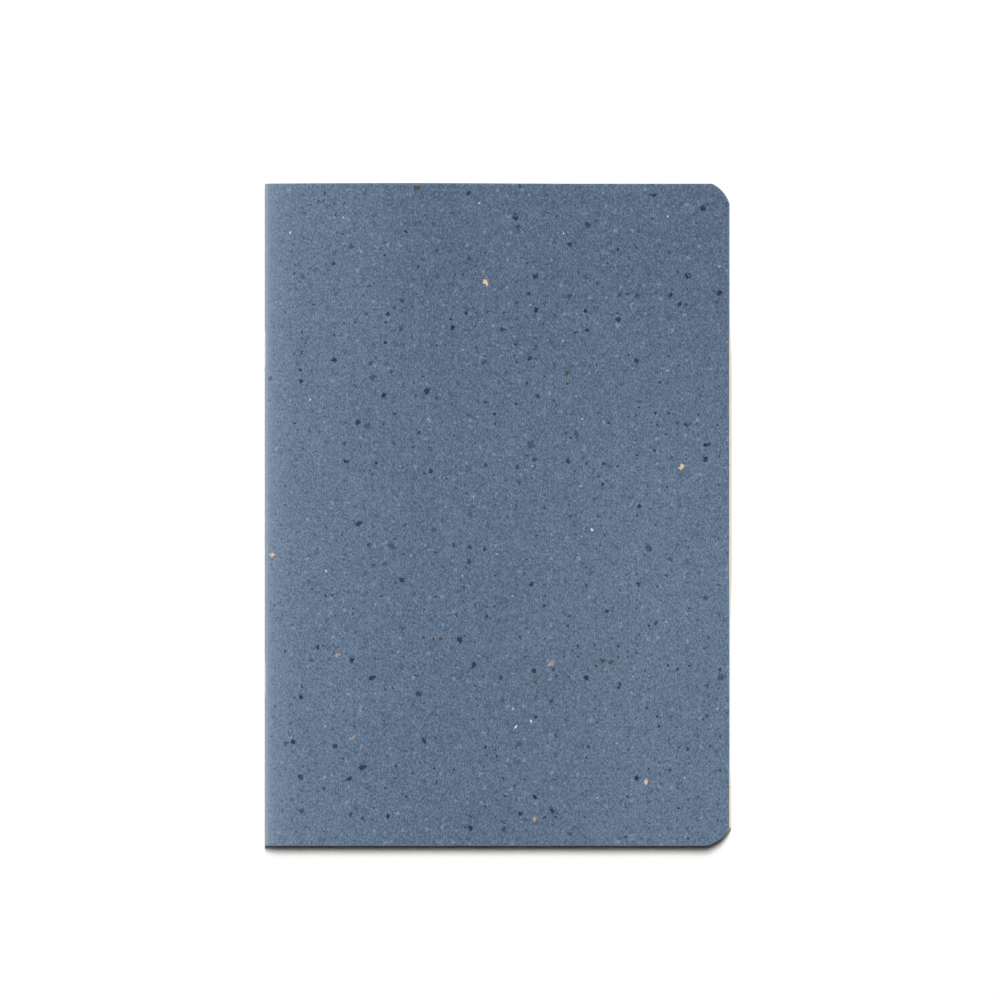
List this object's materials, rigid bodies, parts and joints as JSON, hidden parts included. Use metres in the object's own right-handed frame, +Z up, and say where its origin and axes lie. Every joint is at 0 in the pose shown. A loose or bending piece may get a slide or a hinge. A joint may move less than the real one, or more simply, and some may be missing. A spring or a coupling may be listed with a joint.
{
  "type": "soft cover notepad",
  "caption": "A5 notepad with a soft speckled paper cover folded round plain cream sheets, two staples in the fold and rounded fore-edge corners.",
  "frame": {"origin": "middle of the underside of the closed notepad, at the level of the surface it lies on", "axes": "+X from the spine to the fore-edge, +Y from the tail to the head, +Z up out of the front cover"},
  "size_m": [0.1478, 0.21, 0.0055],
  "materials": {
    "cover_paper": "matt uncoated recycled card, dusty blue, flecked with plant fibre",
    "page_paper": "matt uncoated cream paper",
    "staple_wire": "bright galvanised stitching wire"
  },
  "bodies": {
    "back_cover": {"back_cover": "cover_paper"},
    "binding": {"cover_spine": "cover_paper", "staple_head": "staple_wire", "staple_tail": "staple_wire", "sheet_01_fold": "page_paper", "sheet_02_fold": "page_paper", "sheet_03_fold": "page_paper", "sheet_04_fold": "page_paper", "sheet_05_fold": "page_paper", "sheet_06_fold": "page_paper", "sheet_07_fold": "page_paper", "sheet_08_fold": "page_paper", "sheet_09_fold": "page_paper", "sheet_10_fold": "page_paper", "sheet_11_fold": "page_paper", "sheet_12_fold": "page_paper", "sheet_13_fold": "page_paper", "sheet_14_fold": "page_paper", "sheet_15_fold": "page_paper", "sheet_16_fold": "page_paper"},
    "sheet_01_rear": {"sheet_01_rear_leaf": "page_paper"},
    "sheet_01_front": {"sheet_01_front_leaf": "page_paper"},
    "sheet_02_rear": {"sheet_02_rear_leaf": "page_paper"},
    "sheet_02_front": {"sheet_02_front_leaf": "page_paper"},
    "sheet_03_rear": {"sheet_03_rear_leaf": "page_paper"},
    "sheet_03_front": {"sheet_03_front_leaf": "page_paper"},
    "sheet_04_rear": {"sheet_04_rear_leaf": "page_paper"},
    "sheet_04_front": {"sheet_04_front_leaf": "page_paper"},
    "sheet_05_rear": {"sheet_05_rear_leaf": "page_paper"},
    "sheet_05_front": {"sheet_05_front_leaf": "page_paper"},
    "sheet_06_rear": {"sheet_06_rear_leaf": "page_paper"},
    "sheet_06_front": {"sheet_06_front_leaf": "page_paper"},
    "sheet_07_rear": {"sheet_07_rear_leaf": "page_paper"},
    "sheet_07_front": {"sheet_07_front_leaf": "page_paper"},
    "sheet_08_rear": {"sheet_08_rear_leaf": "page_paper"},
    "sheet_08_front": {"sheet_08_front_leaf": "page_paper"},
    "sheet_09_rear": {"sheet_09_rear_leaf": "page_paper"},
    "sheet_09_front": {"sheet_09_front_leaf": "page_paper"},
    "sheet_10_rear": {"sheet_10_rear_leaf": "page_paper"},
    "sheet_10_front": {"sheet_10_front_leaf": "page_paper"},
    "sheet_11_rear": {"sheet_11_rear_leaf": "page_paper"},
    "sheet_11_front": {"sheet_11_front_leaf": "page_paper"},
    "sheet_12_rear": {"sheet_12_rear_leaf": "page_paper"},
    "sheet_12_front": {"sheet_12_front_leaf": "page_paper"},
    "sheet_13_rear": {"sheet_13_rear_leaf": "page_paper"},
    "sheet_13_front": {"sheet_13_front_leaf": "page_paper"},
    "sheet_14_rear": {"sheet_14_rear_leaf": "page_paper"},
    "sheet_14_front": {"sheet_14_front_leaf": "page_paper"},
    "sheet_15_rear": {"sheet_15_rear_leaf": "page_paper"},
    "sheet_15_front": {"sheet_15_front_leaf": "page_paper"},
    "sheet_16_rear": {"sheet_16_rear_leaf": "page_paper"},
    "sheet_16_front": {"sheet_16_front_leaf": "page_paper"},
    "front_cover": {"front_cover": "cover_paper"}
  },
  "joints": [
    {"name": "centre_opening", "type": "hinge", "parent": "back_cover", "child": "binding", "pos_m": [-0.07282, 0, 0.00101], "axis": [0, -1, 0], "range_deg": [0, 88], "deforming": ["cover_spine", "sheet_01_fold", "sheet_02_fold", "sheet_03_fold", "sheet_04_fold", "sheet_05_fold", "sheet_06_fold", "sheet_07_fold", "sheet_08_fold", "sheet_09_fold", "sheet_10_fold", "sheet_11_fold", "sheet_12_fold", "sheet_13_fold", "sheet_14_fold", "sheet_15_fold", "sheet_16_fold"]},
    {"name": "sheet_01_rear_turn", "type": "hinge", "parent": "binding", "child": "sheet_01_rear", "pos_m": [-0.07259, 0, 0.00123], "axis": [0, 1, 0], "range_deg": [0, 87.45]},
    {"name": "sheet_01_front_turn", "type": "hinge", "parent": "binding", "child": "sheet_01_front", "pos_m": [-0.07259, 0, 0.00427], "axis": [0, -1, 0], "range_deg": [0, 87.45]},
    {"name": "sheet_02_rear_turn", "type": "hinge", "parent": "binding", "child": "sheet_02_rear", "pos_m": [-0.0725, 0, 0.00132], "axis": [0, 1, 0], "range_deg": [0, 86.9]},
    {"name": "sheet_02_front_turn", "type": "hinge", "parent": "binding", "child": "sheet_02_front", "pos_m": [-0.0725, 0, 0.00418], "axis": [0, -1, 0], "range_deg": [0, 86.9]},
    {"name": "sheet_03_rear_turn", "type": "hinge", "parent": "binding", "child": "sheet_03_rear", "pos_m": [-0.07242, 0, 0.00141], "axis": [0, 1, 0], "range_deg": [0, 86.35]},
    {"name": "sheet_03_front_turn", "type": "hinge", "parent": "binding", "child": "sheet_03_front", "pos_m": [-0.07242, 0, 0.00409], "axis": [0, -1, 0], "range_deg": [0, 86.35]},
    {"name": "sheet_04_rear_turn", "type": "hinge", "parent": "binding", "child": "sheet_04_rear", "pos_m": [-0.07233, 0, 0.0015], "axis": [0, 1, 0], "range_deg": [0, 85.8]},
    {"name": "sheet_04_front_turn", "type": "hinge", "parent": "binding", "child": "sheet_04_front", "pos_m": [-0.07233, 0, 0.004], "axis": [0, -1, 0], "range_deg": [0, 85.8]},
    {"name": "sheet_05_rear_turn", "type": "hinge", "parent": "binding", "child": "sheet_05_rear", "pos_m": [-0.07224, 0, 0.00158], "axis": [0, 1, 0], "range_deg": [0, 85.25]},
    {"name": "sheet_05_front_turn", "type": "hinge", "parent": "binding", "child": "sheet_05_front", "pos_m": [-0.07224, 0, 0.00392], "axis": [0, -1, 0], "range_deg": [0, 85.25]},
    {"name": "sheet_06_rear_turn", "type": "hinge", "parent": "binding", "child": "sheet_06_rear", "pos_m": [-0.07216, 0, 0.00167], "axis": [0, 1, 0], "range_deg": [0, 84.7]},
    {"name": "sheet_06_front_turn", "type": "hinge", "parent": "binding", "child": "sheet_06_front", "pos_m": [-0.07216, 0, 0.00383], "axis": [0, -1, 0], "range_deg": [0, 84.7]},
    {"name": "sheet_07_rear_turn", "type": "hinge", "parent": "binding", "child": "sheet_07_rear", "pos_m": [-0.07207, 0, 0.00176], "axis": [0, 1, 0], "range_deg": [0, 84.15]},
    {"name": "sheet_07_front_turn", "type": "hinge", "parent": "binding", "child": "sheet_07_front", "pos_m": [-0.07207, 0, 0.00374], "axis": [0, -1, 0], "range_deg": [0, 84.15]},
    {"name": "sheet_08_rear_turn", "type": "hinge", "parent": "binding", "child": "sheet_08_rear", "pos_m": [-0.07198, 0, 0.00184], "axis": [0, 1, 0], "range_deg": [0, 83.6]},
    {"name": "sheet_08_front_turn", "type": "hinge", "parent": "binding", "child": "sheet_08_front", "pos_m": [-0.07198, 0, 0.00366], "axis": [0, -1, 0], "range_deg": [0, 83.6]},
    {"name": "sheet_09_rear_turn", "type": "hinge", "parent": "binding", "child": "sheet_09_rear", "pos_m": [-0.07189, 0, 0.00193], "axis": [0, 1, 0], "range_deg": [0, 83.05]},
    {"name": "sheet_09_front_turn", "type": "hinge", "parent": "binding", "child": "sheet_09_front", "pos_m": [-0.07189, 0, 0.00357], "axis": [0, -1, 0], "range_deg": [0, 83.05]},
    {"name": "sheet_10_rear_turn", "type": "hinge", "parent": "binding", "child": "sheet_10_rear", "pos_m": [-0.07181, 0, 0.00202], "axis": [0, 1, 0], "range_deg": [0, 82.5]},
    {"name": "sheet_10_front_turn", "type": "hinge", "parent": "binding", "child": "sheet_10_front", "pos_m": [-0.07181, 0, 0.00348], "axis": [0, -1, 0], "range_deg": [0, 82.5]},
    {"name": "sheet_11_rear_turn", "type": "hinge", "parent": "binding", "child": "sheet_11_rear", "pos_m": [-0.07172, 0, 0.00211], "axis": [0, 1, 0], "range_deg": [0, 81.95]},
    {"name": "sheet_11_front_turn", "type": "hinge", "parent": "binding", "child": "sheet_11_front", "pos_m": [-0.07172, 0, 0.00339], "axis": [0, -1, 0], "range_deg": [0, 81.95]},
    {"name": "sheet_12_rear_turn", "type": "hinge", "parent": "binding", "child": "sheet_12_rear", "pos_m": [-0.07163, 0, 0.00219], "axis": [0, 1, 0], "range_deg": [0, 81.4]},
    {"name": "sheet_12_front_turn", "type": "hinge", "parent": "binding", "child": "sheet_12_front", "pos_m": [-0.07163, 0, 0.00331], "axis": [0, -1, 0], "range_deg": [0, 81.4]},
    {"name": "sheet_13_rear_turn", "type": "hinge", "parent": "binding", "child": "sheet_13_rear", "pos_m": [-0.07155, 0, 0.00228], "axis": [0, 1, 0], "range_deg": [0, 80.85]},
    {"name": "sheet_13_front_turn", "type": "hinge", "parent": "binding", "child": "sheet_13_front", "pos_m": [-0.07155, 0, 0.00322], "axis": [0, -1, 0], "range_deg": [0, 80.85]},
    {"name": "sheet_14_rear_turn", "type": "hinge", "parent": "binding", "child": "sheet_14_rear", "pos_m": [-0.07146, 0, 0.00237], "axis": [0, 1, 0], "range_deg": [0, 80.3]},
    {"name": "sheet_14_front_turn", "type": "hinge", "parent": "binding", "child": "sheet_14_front", "pos_m": [-0.07146, 0, 0.00313], "axis": [0, -1, 0], "range_deg": [0, 80.3]},
    {"name": "sheet_15_rear_turn", "type": "hinge", "parent": "binding", "child": "sheet_15_rear", "pos_m": [-0.07137, 0, 0.00245], "axis": [0, 1, 0], "range_deg": [0, 79.75]},
    {"name": "sheet_15_front_turn", "type": "hinge", "parent": "binding", "child": "sheet_15_front", "pos_m": [-0.07137, 0, 0.00305], "axis": [0, -1, 0], "range_deg": [0, 79.75]},
    {"name": "sheet_16_rear_turn", "type": "hinge", "parent": "binding", "child": "sheet_16_rear", "pos_m": [-0.07128, 0, 0.00254], "axis": [0, 1, 0], "range_deg": [0, 79.2]},
    {"name": "sheet_16_front_turn", "type": "hinge", "parent": "binding", "child": "sheet_16_front", "pos_m": [-0.07128, 0, 0.00296], "axis": [0, -1, 0], "range_deg": [0, 79.2]},
    {"name": "front_cover_turn", "type": "hinge", "parent": "sheet_01_front", "child": "front_cover", "pos_m": [-0.06753, 0, 0.0056], "axis": [0, -1, 0], "range_deg": [0, 178]}
  ],
  "couplings": [
    {"joint": "sheet_01_rear_turn", "follows": "centre_opening", "ratio": 0.99375},
    {"joint": "sheet_01_front_turn", "follows": "centre_opening", "ratio": 0.99375},
    {"joint": "sheet_02_rear_turn", "follows": "centre_opening", "ratio": 0.9875},
    {"joint": "sheet_02_front_turn", "follows": "centre_opening", "ratio": 0.9875},
    {"joint": "sheet_03_rear_turn", "follows": "centre_opening", "ratio": 0.98125},
    {"joint": "sheet_03_front_turn", "follows": "centre_opening", "ratio": 0.98125},
    {"joint": "sheet_04_rear_turn", "follows": "centre_opening", "ratio": 0.975},
    {"joint": "sheet_04_front_turn", "follows": "centre_opening", "ratio": 0.975},
    {"joint": "sheet_05_rear_turn", "follows": "centre_opening", "ratio": 0.96875},
    {"joint": "sheet_05_front_turn", "follows": "centre_opening", "ratio": 0.96875},
    {"joint": "sheet_06_rear_turn", "follows": "centre_opening", "ratio": 0.9625},
    {"joint": "sheet_06_front_turn", "follows": "centre_opening", "ratio": 0.9625},
    {"joint": "sheet_07_rear_turn", "follows": "centre_opening", "ratio": 0.95625},
    {"joint": "sheet_07_front_turn", "follows": "centre_opening", "ratio": 0.95625},
    {"joint": "sheet_08_rear_turn", "follows": "centre_opening", "ratio": 0.95},
    {"joint": "sheet_08_front_turn", "follows": "centre_opening", "ratio": 0.95},
    {"joint": "sheet_09_rear_turn", "follows": "centre_opening", "ratio": 0.94375},
    {"joint": "sheet_09_front_turn", "follows": "centre_opening", "ratio": 0.94375},
    {"joint": "sheet_10_rear_turn", "follows": "centre_opening", "ratio": 0.9375},
    {"joint": "sheet_10_front_turn", "follows": "centre_opening", "ratio": 0.9375},
    {"joint": "sheet_11_rear_turn", "follows": "centre_opening", "ratio": 0.93125},
    {"joint": "sheet_11_front_turn", "follows": "centre_opening", "ratio": 0.93125},
    {"joint": "sheet_12_rear_turn", "follows": "centre_opening", "ratio": 0.925},
    {"joint": "sheet_12_front_turn", "follows": "centre_opening", "ratio": 0.925},
    {"joint": "sheet_13_rear_turn", "follows": "centre_opening", "ratio": 0.91875},
    {"joint": "sheet_13_front_turn", "follows": "centre_opening", "ratio": 0.91875},
    {"joint": "sheet_14_rear_turn", "follows": "centre_opening", "ratio": 0.9125},
    {"joint": "sheet_14_front_turn", "follows": "centre_opening", "ratio": 0.9125},
    {"joint": "sheet_15_rear_turn", "follows": "centre_opening", "ratio": 0.90625},
    {"joint": "sheet_15_front_turn", "follows": "centre_opening", "ratio": 0.90625},
    {"joint": "sheet_16_rear_turn", "follows": "centre_opening", "ratio": 0.9},
    {"joint": "sheet_16_front_turn", "follows": "centre_opening", "ratio": 0.9}
  ]
}
